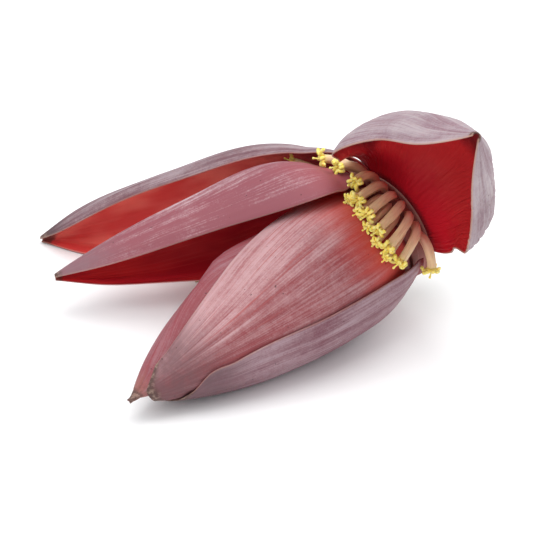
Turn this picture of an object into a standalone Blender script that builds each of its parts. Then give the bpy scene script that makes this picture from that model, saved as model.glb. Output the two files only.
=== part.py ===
"""Banana blossom: a closed teardrop bud lying on its belly, with two outer bracts swung open to one side,
one bract lifted off the top, and the hand of male flowers that the lifted bract had covered.

Every bract starts as a patch of the closed bud's surface: a stretch along the bud from its crown, an arc of
azimuth round the bud's axis, and a distance inside or outside the bud's outline. An open bract grows from the
crown's rim as well, and then follows a keel of its own, with arcs of changing size and spread across it.
Metres, +Z up. +X runs from the bud's tip towards the cut stem.
"""

import math

import bmesh
import bpy
import numpy as np

# ---------------------------------------------------------------- driving dimensions
MM = 0.001
BUD_LENGTH = 206 * MM  # crown to tip
BUD_RADIUS = 48 * MM  # at the widest place
WIDEST_AT = 38 * MM  # from the crown
SHOULDER_RUN = 62 * MM  # half length of the ellipse that shapes the shoulder
TAPER_POWER, TAPER_ROUND = 2.0, 0.86
BUD_TILT = math.radians(11.5)  # the tip hangs lower than the crown
CROWN_HEIGHT = 58 * MM
BRACT_WALL = 1.8 * MM
GAP = 0.6 * MM  # between neighbouring solids
LAYER = BRACT_WALL + GAP

CROWN_RADIUS = 37.5 * MM
CROWN_DEPTH = 18 * MM
STEM_RADIUS = 16.5 * MM
STEM_LENGTH = 52 * MM  # from the crown's front face to the cut

HEART_DEPTH = 3 * LAYER + GAP  # from the closed bud's outline to the heart
HEART_END = 190 * MM

FLOWER_RADIUS = 2.7 * MM  # at the foot of a flower in the front row
TUFT_LENGTH = 8 * MM

# ---------------------------------------------------------------- the bud's own axes
ALONG = np.array([-math.cos(BUD_TILT), 0.0, -math.sin(BUD_TILT)])  # crown to tip
SIDE = np.array([0.0, -1.0, 0.0])
OVER = np.array([-math.sin(BUD_TILT), 0.0, math.cos(BUD_TILT)])
CROWN = np.array([0.0, 0.0, CROWN_HEIGHT])


def smooth(x):
    """0 below 0, 1 above 1, with flat ends."""
    x = np.clip(x, 0.0, 1.0)
    return x * x * (3 - 2 * x)


def radial(azimuth):
    """Unit vector square to the bud's axis: 0 points to SIDE, 90 degrees to OVER."""
    azimuth = np.asarray(azimuth)
    return np.cos(azimuth)[..., None] * SIDE + np.sin(azimuth)[..., None] * OVER


def bud_radius(along):
    """Outer radius of the closed bud: an elliptical shoulder, then a long taper to the tip."""
    shoulder = np.sqrt(np.clip(1 - ((WIDEST_AT - along) / SHOULDER_RUN) ** 2, 0, 1))
    share = np.clip((along - WIDEST_AT) / (BUD_LENGTH - WIDEST_AT), 0, 1)
    taper = (1 - share**TAPER_POWER) ** TAPER_ROUND
    return BUD_RADIUS * np.where(along < WIDEST_AT, shoulder, taper)


def between(share, stops):
    """Value along a bract from (share, value) stops, joined by a smooth curve."""
    places, values = (np.array(column, float) for column in zip(*stops))
    slopes = np.gradient(values, places)
    low = np.clip(np.searchsorted(places, share, side="right") - 1, 0, len(stops) - 2)
    run = places[low + 1] - places[low]
    t = (share - places[low]) / run
    start, end = values[low], values[low + 1]
    curve = (2 * t**3 - 3 * t**2 + 1) * start + (3 * t**2 - 2 * t**3) * end
    return curve + run * ((t**3 - 2 * t**2 + t) * slopes[low] + (t**3 - t**2) * slopes[low + 1])


# ---------------------------------------------------------------- bracts
def stations(count):
    """Shares of a bract's length, closer together towards both ends."""
    even = np.linspace(0, 1, count + 1)
    return 0.55 * even + 0.45 * (1 - np.cos(math.pi * even)) / 2


def arcs(keel, out, side, radius, left, right, columns):
    """Grid of points: at each station an arc of the given radius, hung from the keel and spread by the angles
    left and right of it."""
    across = np.linspace(-1, 1, columns + 1)
    turn = np.where(across < 0, np.radians(left)[:, None], np.radians(right)[:, None]) * across
    turn = turn[..., None]
    centre = keel - radius[:, None] * out
    ray = np.cos(turn) * out[:, None] + np.sin(turn) * side[:, None]
    return centre[:, None] + radius[:, None, None] * ray


class ClosedBract:
    """A patch of the closed bud. azimuth: of its middle. low, high: stops of its spread towards lower and higher
    azimuths. lift: (place along the bud in mm, mm outside the bud's outline) stops. swell: (place, azimuths where
    a loose fold starts and ends, its height in mm) stops.
    end, slant: where its tip is, and how much further the high margin reaches. rounding: how far the low and high
    corners of the tip draw back. flare: how far the high corner at the crown stands off and reaches back.
    floor: the lowest level its outer face may reach."""

    def __init__(self, azimuth, end, low, high, lift, floor, rounding, slant=0.0,
                 swell=((0, 0, 0, 0), (206, 0, 0, 0)), flare=(0.0, 0.0)):
        self.azimuth, self.end, self.low, self.high = math.radians(azimuth), end, low, high
        self.lift, self.floor, self.rounding, self.slant = lift, floor, rounding, slant
        self.swell, self.flare, self.wall = swell, flare, BRACT_WALL

    def middle(self, rows, columns):
        share, across = stations(rows)[:, None], np.linspace(-1, 1, columns + 1)[None, :]
        along = RIM + share * (self.end + self.slant * across - RIM)
        along = along - np.where(across < 0, *self.rounding) * across**2 * share**5
        corner = smooth((across - 0.62) / 0.38) * smooth(1 - along / (34 * MM))
        along = along - self.flare[1] * corner
        spread = np.where(across < 0, between(share, self.low), between(share, self.high))
        lift = np.interp(along, *(np.array(self.lift).T * MM))
        lift = lift + self.swelling(along, math.degrees(self.azimuth) + across * spread)
        radius = bud_radius(np.maximum(along, 0)) + lift - self.wall / 2
        radius = np.maximum(radius + self.flare[0] * corner, 1.3 * MM)
        around = radial(self.azimuth + across * np.radians(spread))
        return CROWN + along[..., None] * ALONG + radius[..., None] * around

    def swelling(self, along, azimuth):
        """Height of the loose fold that stands off the bud between two azimuths."""
        places, *facts = np.array(self.swell).T
        first, last, height = (np.interp(along / MM, places, fact) for fact in facts)
        return height * MM * smooth((azimuth - first) / 22) * smooth((last - azimuth) / 18)


class OpenBract:
    """A bract swung away from the bud. Its keel leaves the crown's rim and runs in the plane of the bud's axis
    and the bract's azimuth. Stops along it give: heading and facing, the angles from the bud's axis of the keel
    and of the sections' normals; radius, left and right, the size and spread of the sections; roll, the turn
    about its own length; sway, the sideways heading. foot: azimuth and spread of the strip that grows from the
    crown, which the blade leaves over the distance reach. floor: as for a closed bract."""

    def __init__(self, azimuth, start, length, heading, facing, radius, left, right, roll, sway, foot, reach,
                 foot_lean=None, floor=None):
        self.azimuth, self.start, self.length = math.radians(azimuth), start, length
        self.heading, self.facing, self.roll, self.sway = heading, facing, roll, sway
        self.radius, self.left, self.right = radius, left, right
        self.foot, self.reach = np.radians(foot), reach
        self.foot_lean = math.radians(heading[0][1] if foot_lean is None else foot_lean)
        self.wall, self.floor = BRACT_WALL, floor

    def keel(self, share, out, side):
        """Points along the keel at the given shares of its length."""
        fine = np.linspace(0, 1, 401)
        head, sway = np.radians(between(fine, self.heading)), np.radians(between(fine, self.sway))
        step = (np.cos(head) * np.cos(sway))[:, None] * ALONG + (np.sin(head) * np.cos(sway))[:, None] * out
        step = step + np.sin(sway)[:, None] * side
        run = np.concatenate([np.zeros((1, 3)), np.cumsum((step[1:] + step[:-1]) / 2, axis=0)])
        run *= self.length / (len(fine) - 1)
        foot = CROWN + self.start * ALONG + self.ring() * out
        return foot + np.stack([np.interp(share, fine, run[:, k]) for k in range(3)], axis=1)

    def ring(self):
        """Distance of the foot's middle surface from the bud's axis."""
        return CROWN_RADIUS + GAP + self.wall / 2

    def middle(self, rows, columns):
        share = stations(rows)
        out0 = radial(self.azimuth)
        side0 = np.cross(ALONG, out0)
        face, roll = np.radians(between(share, self.facing)), np.radians(between(share, self.roll))
        out = -np.sin(face)[:, None] * ALONG + np.cos(face)[:, None] * out0
        side = np.tile(side0, (rows + 1, 1))
        out, side = (
            np.cos(roll)[:, None] * out + np.sin(roll)[:, None] * side,
            np.cos(roll)[:, None] * side - np.sin(roll)[:, None] * out,
        )
        radius = between(share, self.radius) * MM
        spread = between(share, self.left), between(share, self.right)
        blade = arcs(self.keel(share, out0, side0), out, side, radius, *spread, columns)
        across = np.linspace(-1, 1, columns + 1)
        around = radial(self.foot[0] + np.where(across < 0, self.foot[1], self.foot[2]) * across)
        run = (share * self.length)[:, None, None]
        foot = CROWN + (self.start + run * math.cos(self.foot_lean)) * ALONG
        foot = foot + (self.ring() + run * math.sin(self.foot_lean)) * around
        held = 1 - smooth(run / self.reach)
        return foot * held + blade * (1 - held)


def normals_of(grid):
    """Unit normals of a grid of points, facing out of the bud on a closed bract."""
    down = np.gradient(grid, axis=0)
    side = np.gradient(grid, axis=1)
    normal = np.cross(side, down)
    return normal / np.maximum(np.linalg.norm(normal, axis=2, keepdims=True), 1e-12)


def bract_faces(bract, rows=14, columns=18):
    """(outer grid, inner grid) of a bract's sheet, thinner at its margins and tip."""
    middle = bract.middle(rows, columns)
    across = np.abs(np.linspace(-1, 1, columns + 1))[None, :, None]
    wall = bract.wall * (1 - 0.35 * across**4) * (1 - 0.4 * stations(rows) ** 4)[:, None, None]
    normal = normals_of(middle)
    outer, inner = middle + normal * wall / 2, middle - normal * wall / 2
    if bract.floor is not None:
        outer[..., 2] = np.maximum(outer[..., 2], bract.floor)
        inner[..., 2] = np.maximum(inner[..., 2], bract.floor + bract.wall)
    return outer, inner


RIM = 1.0 * MM  # from the crown's face to the closed layers
FLOOR_GAP = 0.3 * MM  # extra space between the layers where they are pressed flat
BRACTS = {
    # closed layers, from the inside out
    "bract_inner_wrap": ClosedBract(
        azimuth=155, end=207 * MM,
        low=((0, 100), (0.8, 100), (0.92, 150), (1, 185)), high=((0, 100), (1, 95)),
        lift=((0, -4.8), (168, -4.8), (184, -2.4), (199.5, -2.4), (203, -0.2), (207, 2)),
        floor=2 * (LAYER + FLOOR_GAP), rounding=(0.0, 4 * MM),
        swell=((24, 131, 176, 0), (34, 133, 176, 1.2), (46, 134, 176, 2.2), (57, 134, 176, 3.4),
               (68, 131, 176, 5), (80, 129, 176, 7.2), (92, 126, 176, 8.8), (104, 121, 176, 9),
               (114, 117, 176, 7.4), (124, 112, 176, 6), (145, 105, 174, 5.4), (168, 99, 172, 5.4),
               (184, 95, 170, 3), (199, 92, 170, 2.6),
               (203, 92, 170, 0.6), (207, 92, 170, 0))),
    "bract_front": ClosedBract(
        azimuth=29, end=196 * MM, low=((0, 102), (0.25, 104), (0.47, 95), (0.7, 85), (1, 80)),
        high=((0, 102), (0.25, 104), (0.4, 97), (0.5, 90), (0.62, 80), (0.7, 75), (0.92, 65), (1, 62)),
        lift=((0, -2.4), (172, -2.4), (184, -0.6), (206, -0.4)), floor=LAYER + FLOOR_GAP,
        rounding=(4 * MM, 14 * MM)),
    "bract_outer_wrap": ClosedBract(
        azimuth=-104, end=188 * MM,
        low=((0, 100), (0.15, 84), (0.5, 78), (1, 80)),
        high=((0, 108), (0.4, 113), (0.8, 116), (0.93, 108), (1, 74)), lift=((0, 0), (206, 0)), floor=0.0,
        rounding=(0.0, 3 * MM), slant=-9.5 * MM, flare=(7 * MM, 5 * MM)),
    # open bracts
    "bract_open_near": OpenBract(
        azimuth=166.1, start=-2 * MM, length=204.6 * MM,
        heading=((0, 80.5), (0.22, 35.2), (0.6, 22.6), (1, 15.4)), facing=((0, 13.7), (0.3, 2.2), (1, 32.6)),
        radius=((0, 38), (0.3, 54.2), (0.53, 31.5), (0.86, 11.8), (1, 2)),
        left=((0, 90), (0.3, 111.3), (0.7, 134), (1, 140)),
        right=((0, 45), (0.3, 60.5), (0.7, 123.7), (1, 124.1)),
        roll=((0, -0.3), (0.4, 6.2), (1, 3.1)), sway=((0, 0), (1, 17.2)),
        foot=(185, 92, 45), reach=34 * MM),
    "bract_open_far": OpenBract(
        azimuth=180.5, start=-14.5 * MM, length=243.4 * MM,
        heading=((0, 96.5), (0.22, 62.5), (0.6, 44.3), (1, 28.5)), facing=((0, 41.1), (0.3, 52.7), (1, 49.9)),
        radius=((0, 38), (0.3, 45.9), (0.53, 32.3), (0.86, 15.2), (1, 2)),
        left=((0, 85), (0.3, 102.7), (0.7, 112.5), (1, 148.4)),
        right=((0, 32), (0.3, 48), (0.7, 106.5), (1, 125.6)),
        roll=((0, 20.7), (0.4, 8.5), (1, 3.7)), sway=((0, 0), (1, 13)),
        foot=(180, 72, 32), reach=34 * MM, floor=0.0),
    "bract_raised": OpenBract(
        azimuth=58.2, start=-16 * MM, length=208.6 * MM,
        heading=((0, 131.5), (0.15, 109), (0.36, 74.7), (0.7, 59.2), (1, 58.1)),
        facing=((0, 90.2), (0.35, 88.9), (1, 75.9)),
        radius=((0, 38), (0.2, 45.9), (0.34, 51.6), (0.6, 34.7), (0.85, 18.4), (1, 2)),
        left=((0, 60), (0.25, 92.4), (0.6, 102.7), (1, 121.6)),
        right=((0, 61), (0.1, 85), (0.25, 104.5), (0.6, 101.3), (1, 117.4)),
        roll=((0, 6.5), (0.4, 10), (1, 18)), sway=((0, 0), (1, -20.5)),
        foot=(58.2, 60, 60), reach=40 * MM, foot_lean=110),
}


# ---------------------------------------------------------------- flowers
# row, foot azimuth, end azimuth (degrees), end along and distance from the axis (mm), how far the bend stands
# outside the end (mm), radius against the front row's
FRONT_ROW, BACK_ROW = -9 * MM, -2.5 * MM
FLOWERS = (
    (FRONT_ROW, 113, 120, 8, 64, -8, 1),
    (FRONT_ROW, 102, 102.5, 10, 60.5, -5, 1),
    (FRONT_ROW, 90.5, 86, 11, 55.8, -1, 1),
    (FRONT_ROW, 79, 75, 18, 52, 1, 1),
    (FRONT_ROW, 67.5, 61, 21, 52, 1, 1),
    (FRONT_ROW, 56.5, 47.5, 22, 52, 1, 1),
    (FRONT_ROW, 45.5, 33.5, 23, 52, 1, 1),
    (FRONT_ROW, 34.5, 19.5, 19, 51.5, 1, 1),
    (FRONT_ROW, 24, -2, -3, 52, -1, 1),
    (BACK_ROW, 84.5, 82, 20, 47.7, -1, 0.7),
    (BACK_ROW, 73, 68, 23, 48, -1, 0.7),
    (BACK_ROW, 62, 54, 25, 48.2, -1, 0.7),
    (BACK_ROW, 51, 40.5, 26, 48.4, -1, 0.7),
    (BACK_ROW, 40, 26.5, 25, 48.4, -1, 0.7),
    (-7 * MM, 147, 147, 11, 75, -18, 0.85),
)
FALLEN_TIP = np.array([-72.0, 107.0, 4.6]) * MM  # of the loose flower, under the near open bract
FALLEN_HEADING = math.radians(-30)  # from its tip to its foot, seen from above


def bend(foot, knee, end, points):
    """Points on a smooth bend, and its directions."""
    t = np.linspace(0, 1, points)[:, None]
    path = foot * (1 - t) ** 2 + 2 * knee * t * (1 - t) + end * t**2
    way = (knee - foot) * (1 - t) + (end - knee) * t
    return path, way / np.linalg.norm(way, axis=1, keepdims=True)


def flower_path(row, foot_azimuth, end_azimuth, along, distance, rise, points=8):
    """Centreline of a flower: it leaves the crown square to the stem and bends over towards the bud's tip."""
    azimuth = np.radians([foot_azimuth, foot_azimuth + 0.35 * (end_azimuth - foot_azimuth), end_azimuth])
    along, distance, rise = along * MM, distance * MM, rise * MM
    places = (row, CROWN_RADIUS + 2 * GAP), (row + 0.12 * (along - row), distance + rise), (along, distance)
    foot, knee, end = (CROWN + a * ALONG + r * radial(phi) for (a, r), phi in zip(places, azimuth))
    return bend(foot, knee, end, points)


def fallen_path(points=8):
    """Centreline of the loose flower, from its foot to its tip."""
    way = np.array([math.cos(FALLEN_HEADING), math.sin(FALLEN_HEADING), 0.0])
    aside = np.array([-way[1], way[0], 0.0])
    end = FALLEN_TIP + way * TUFT_LENGTH * 0.6
    return bend(end + way * 34 * MM, end + way * 17 * MM + aside * 5 * MM, end, points)


def rings(path, ways, radii, sides=8):
    """Rings of points square to a path."""
    side = np.cross(ways[0], OVER)
    found = []
    for point, way, r in zip(path, ways, radii):
        side = side - (side @ way) * way
        side /= np.linalg.norm(side)
        turn = np.linspace(0, 2 * math.pi, sides, endpoint=False)[:, None]
        found.append(point + r * (np.cos(turn) * side + np.sin(turn) * np.cross(way, side)))
    return np.array(found)


def flower_rings(path, ways, size):
    """(tube rings, tuft rings) of one flower."""
    t = np.linspace(0, 1, len(path))
    tube = rings(path, ways, FLOWER_RADIUS * size * (1 + 0.9 * t * (1 - t)))
    reach = np.array([0.04, 0.3, 0.62, 0.86, 1.0]) * TUFT_LENGTH
    width = np.array([0.75, 0.95, 1.25, 1.05, 0.5]) * FLOWER_RADIUS * size
    tuft = rings(path[-1] + reach[:, None] * ways[-1], np.tile(ways[-1], (5, 1)), width)
    return tube, tuft


def flowers():
    """name -> (tube rings, tuft rings)."""
    found = {}
    for number, (*place, size) in enumerate(FLOWERS, 1):
        found["flower_%02d" % number] = flower_rings(*flower_path(*place), size)
    found["flower_fallen"] = flower_rings(*fallen_path(), 0.95)
    return found


# ---------------------------------------------------------------- crown, stem and heart
CROWN_PROFILE = (  # (along, radius), from the face that carries the bud to the cut end of the stem
    (0.0, CROWN_RADIUS),
    (-5.4 * MM, CROWN_RADIUS),
    (-6.2 * MM, CROWN_RADIUS - 0.8 * MM),  # a shallow groove where the front row of flowers grows
    (-13.4 * MM, CROWN_RADIUS - 0.6 * MM),
    (-14.0 * MM, CROWN_RADIUS),
    (-CROWN_DEPTH, CROWN_RADIUS),
    (-CROWN_DEPTH - 1.5 * MM, CROWN_RADIUS - 2 * MM),
    (-24.0 * MM, 28.0 * MM),
    (-30.0 * MM, 20.5 * MM),
    (-36.0 * MM, STEM_RADIUS + 0.8 * MM),
    (-STEM_LENGTH, STEM_RADIUS),
)


def turned_rings(profile, sides):
    """Rings of points round the bud's axis from (along, radius) pairs."""
    azimuth = np.linspace(0, 2 * math.pi, sides, endpoint=False)
    return np.array([CROWN + a * ALONG + r * radial(azimuth) for a, r in profile])


def stem_rings():
    """The crown with its collar, and the stem up to its cut end."""
    return turned_rings(CROWN_PROFILE, 32)


def heart_rings():
    """The packed young bracts inside the closed ones, one solid from the crown's face to near the bud's tip."""
    along = RIM + stations(14) * (HEART_END - RIM)
    found = turned_rings(list(zip(along, bud_radius(along) - HEART_DEPTH)), 32)
    found[..., 2] = np.maximum(found[..., 2], HEART_DEPTH)
    return found


# ---------------------------------------------------------------- meshes
def make_object(name, points, faces, colour, rough):
    """A closed mesh object with its own material."""
    mesh = bpy.data.meshes.new(name)
    mesh.from_pydata([tuple(p) for p in points], [], faces)
    builder = bmesh.new()
    builder.from_mesh(mesh)
    bmesh.ops.triangulate(builder, faces=builder.faces)
    bmesh.ops.recalc_face_normals(builder, faces=builder.faces)
    builder.to_mesh(mesh)
    builder.free()
    material = bpy.data.materials.new(name)
    material.use_nodes = True
    shader = material.node_tree.nodes["Principled BSDF"]
    shader.inputs["Base Color"].default_value = (*colour, 1.0)
    shader.inputs["Roughness"].default_value = rough
    shader.inputs["Metallic"].default_value = 0.0
    mesh.materials.append(material)
    item = bpy.data.objects.new(name, mesh)
    bpy.context.scene.collection.objects.link(item)
    return item


def sheet_object(name, outer, inner, colour, rough):
    """A thin closed solid between two grids of points."""
    rows, columns = outer.shape[0] - 1, outer.shape[1] - 1
    width = columns + 1
    shift = (rows + 1) * width
    faces = []
    for r in range(rows):
        for c in range(columns):
            a, b = r * width + c, (r + 1) * width + c
            faces += [(a, a + 1, b + 1, b), (shift + a, shift + b, shift + b + 1, shift + a + 1)]
    border = [c for c in range(columns)] + [r * width + columns for r in range(rows)]
    border += [rows * width + c for c in range(columns, 0, -1)] + [r * width for r in range(rows, 0, -1)]
    for here, there in zip(border, border[1:] + border[:1]):
        faces.append((there, here, shift + here, shift + there))
    return make_object(name, np.concatenate([outer.reshape(-1, 3), inner.reshape(-1, 3)]), faces, colour, rough)


def rod_object(name, grid, colour, rough):
    """A closed solid through rings of points, with flat ends."""
    count, sides = grid.shape[:2]
    faces = [tuple(reversed(range(sides))), tuple((count - 1) * sides + k for k in range(sides))]
    for r in range(count - 1):
        for k in range(sides):
            a, b = r * sides + k, r * sides + (k + 1) % sides
            faces.append((a, b, b + sides, a + sides))
    return make_object(name, grid.reshape(-1, 3), faces, colour, rough)


# ---------------------------------------------------------------- the blossom
BRACT_COLOURS = {
    "bract_inner_wrap": (0.36, 0.13, 0.16),
    "bract_front": (0.42, 0.15, 0.16),
    "bract_outer_wrap": (0.36, 0.19, 0.22),
    "bract_open_near": (0.40, 0.17, 0.21),
    "bract_open_far": (0.34, 0.19, 0.22),
    "bract_raised": (0.40, 0.26, 0.29),
}
STEM_COLOUR, HEART_COLOUR = (0.42, 0.36, 0.20), (0.40, 0.10, 0.12)
TUBE_COLOUR, TUFT_COLOUR = (0.55, 0.27, 0.13), (0.80, 0.58, 0.16)


def build():
    items = [rod_object("stem", stem_rings(), STEM_COLOUR, 0.6)]
    items.append(rod_object("bud_heart", heart_rings(), HEART_COLOUR, 0.5))
    for name, bract in BRACTS.items():
        items.append(sheet_object(name, *bract_faces(bract), BRACT_COLOURS[name], 0.5))
    for name, (tube, tuft) in flowers().items():
        items.append(rod_object(name, tube, TUBE_COLOUR, 0.5))
        items.append(rod_object(name + "_tip", tuft, TUFT_COLOUR, 0.6))
    return items


def centre_on_origin(items):
    """Move everything so that the origin is at the middle of the footprint, on the surface it lies on."""
    low, high = np.full(3, np.inf), np.full(3, -np.inf)
    for item in items:
        for vertex in item.data.vertices:
            low, high = np.minimum(low, vertex.co), np.maximum(high, vertex.co)
    shift = np.array([(low[0] + high[0]) / 2, (low[1] + high[1]) / 2, low[2]])
    for item in items:
        for vertex in item.data.vertices:
            vertex.co = tuple(np.array(vertex.co) - shift)


for old in list(bpy.data.objects):
    bpy.data.objects.remove(old, do_unlink=True)
centre_on_origin(build())
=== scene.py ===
"""Looks of the banana blossom: fine bract sheets, curved flowers with curled yellow lobes, a scarred stem,
procedural surfaces, a pale floor, soft light and the camera.

Every piece follows the same rules as its CAD solid: patches of the bud's outline for the closed bracts, keels
with arcs across them for the open ones. Shapes are worked out in the bud's own frame, with the crown's centre
above the origin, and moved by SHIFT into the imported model's frame.
"""

import math
from dataclasses import dataclass

import bpy
import numpy as np
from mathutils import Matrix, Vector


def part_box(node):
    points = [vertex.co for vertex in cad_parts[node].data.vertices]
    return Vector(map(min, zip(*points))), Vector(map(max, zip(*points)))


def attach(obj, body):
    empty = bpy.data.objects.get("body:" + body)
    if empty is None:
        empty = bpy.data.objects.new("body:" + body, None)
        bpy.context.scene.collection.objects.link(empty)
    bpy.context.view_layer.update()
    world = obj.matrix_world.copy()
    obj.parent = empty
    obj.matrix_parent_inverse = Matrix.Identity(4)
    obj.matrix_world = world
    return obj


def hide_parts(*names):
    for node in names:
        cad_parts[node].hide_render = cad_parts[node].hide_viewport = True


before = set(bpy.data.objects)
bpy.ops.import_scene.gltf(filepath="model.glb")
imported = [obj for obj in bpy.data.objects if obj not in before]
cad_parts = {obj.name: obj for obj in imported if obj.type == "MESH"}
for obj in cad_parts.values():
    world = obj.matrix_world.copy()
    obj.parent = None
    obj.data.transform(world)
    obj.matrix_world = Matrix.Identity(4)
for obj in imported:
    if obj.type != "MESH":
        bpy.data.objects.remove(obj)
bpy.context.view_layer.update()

# ---------------------------------------------------------------- driving dimensions, as in the CAD model
MM = 0.001
BUD_LENGTH = 206 * MM
BUD_RADIUS = 48 * MM
WIDEST_AT = 38 * MM
SHOULDER_RUN = 62 * MM
TAPER_POWER, TAPER_ROUND = 2.0, 0.86
BUD_TILT = math.radians(11.5)
CROWN_HEIGHT = 58 * MM
BRACT_WALL = 1.8 * MM
GAP = 0.6 * MM
LAYER = BRACT_WALL + GAP
RIM = 1.0 * MM
FLOOR_GAP = 0.3 * MM
HEART_DEPTH = 3 * LAYER + GAP
HEART_END = 190 * MM
CROWN_RADIUS = 37.5 * MM
CROWN_DEPTH = 18 * MM
STEM_RADIUS = 16.5 * MM
STEM_LENGTH = 52 * MM
FLOWER_RADIUS = 2.7 * MM
TUFT_LENGTH = 8 * MM

ALONG = np.array([-math.cos(BUD_TILT), 0.0, -math.sin(BUD_TILT)])
SIDE = np.array([0.0, -1.0, 0.0])
OVER = np.array([-math.sin(BUD_TILT), 0.0, math.cos(BUD_TILT)])
CROWN = np.array([0.0, 0.0, CROWN_HEIGHT])


# ---------------------------------------------------------------- shared shapes
def smooth(x):
    """0 below 0, 1 above 1, with flat ends."""
    x = np.clip(x, 0.0, 1.0)
    return x * x * (3 - 2 * x)


def radial(azimuth):
    """Unit vector square to the bud's axis: 0 points to SIDE, 90 degrees to OVER."""
    azimuth = np.asarray(azimuth)
    return np.cos(azimuth)[..., None] * SIDE + np.sin(azimuth)[..., None] * OVER


def bud_radius(along):
    """Outer radius of the closed bud: an elliptical shoulder, then a long taper to the tip."""
    shoulder = np.sqrt(np.clip(1 - ((WIDEST_AT - along) / SHOULDER_RUN) ** 2, 0, 1))
    share = np.clip((along - WIDEST_AT) / (BUD_LENGTH - WIDEST_AT), 0, 1)
    taper = (1 - share**TAPER_POWER) ** TAPER_ROUND
    return BUD_RADIUS * np.where(along < WIDEST_AT, shoulder, taper)


def between(share, stops):
    """Value along a bract from (share, value) stops, joined by a smooth curve."""
    places, values = (np.array(column, float) for column in zip(*stops))
    slopes = np.gradient(values, places)
    low = np.clip(np.searchsorted(places, share, side="right") - 1, 0, len(stops) - 2)
    run = places[low + 1] - places[low]
    t = (share - places[low]) / run
    start, end = values[low], values[low + 1]
    curve = (2 * t**3 - 3 * t**2 + 1) * start + (3 * t**2 - 2 * t**3) * end
    return curve + run * ((t**3 - 2 * t**2 + t) * slopes[low] + (t**3 - t**2) * slopes[low + 1])


def stations(count):
    """Shares of a bract's length, closer together towards both ends."""
    even = np.linspace(0, 1, count + 1)
    return 0.55 * even + 0.45 * (1 - np.cos(math.pi * even)) / 2


def ripples(x, y, size, seed, count=26):
    """Soft irregular waves, mostly within +-2: sine waves of many directions, about size long in x and y."""
    rng = np.random.default_rng(seed)
    total = np.zeros(np.broadcast(x, y).shape)
    for turn, phase, pace in zip(*rng.uniform((0,), (1,), (3, count))):
        turn, pace = 2 * math.pi * turn, 2 * math.pi * (0.55 + 1.1 * pace)
        total += np.sin(pace * (math.cos(turn) * x / size[0] + math.sin(turn) * y / size[1]) + 7 * phase)
    return total / math.sqrt(count / 2)


# ---------------------------------------------------------------- bract sheets
class ClosedBract:
    """A patch of the closed bud. azimuth: of its middle. low, high: stops of its spread towards lower and
    higher azimuths. lift: (place along the bud in mm, mm outside the bud's outline) stops. swell: (place,
    azimuths where a loose fold starts and ends, its height in mm) stops. end, slant: where its tip is, and
    how much further the high margin reaches. rounding: how far the low and high corners of the tip draw back.
    flare: how far the high corner at the crown stands off and reaches back. floor: the lowest level its outer
    face may reach."""

    def __init__(self, azimuth, end, low, high, lift, floor, rounding, slant=0.0,
                 swell=((0, 0, 0, 0), (206, 0, 0, 0)), flare=(0.0, 0.0)):
        self.azimuth, self.end, self.low, self.high = math.radians(azimuth), end, low, high
        self.lift, self.floor, self.rounding, self.slant = lift, floor, rounding, slant
        self.swell, self.flare, self.wall = swell, flare, BRACT_WALL
        self.length = end - RIM

    def middle(self, share, across):
        share, across = share[:, None], across[None, :]
        along = RIM + share * (self.end + self.slant * across - RIM)
        along = along - np.where(across < 0, *self.rounding) * across**2 * share**5
        corner = smooth((across - 0.62) / 0.38) * smooth(1 - along / (34 * MM))
        along = along - self.flare[1] * corner
        spread = np.where(across < 0, between(share, self.low), between(share, self.high))
        lift = np.interp(along, *(np.array(self.lift).T * MM))
        lift = lift + self.swelling(along, math.degrees(self.azimuth) + across * spread)
        radius = bud_radius(np.maximum(along, 0)) + lift - self.wall / 2
        radius = np.maximum(radius + self.flare[0] * corner, 1.3 * MM)
        around = radial(self.azimuth + across * np.radians(spread))
        return CROWN + along[..., None] * ALONG + radius[..., None] * around

    def swelling(self, along, azimuth):
        """Height of the loose fold that stands off the bud between two azimuths."""
        places, *facts = np.array(self.swell).T
        first, last, height = (np.interp(along / MM, places, fact) for fact in facts)
        return height * MM * smooth((azimuth - first) / 22) * smooth((last - azimuth) / 18)


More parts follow.
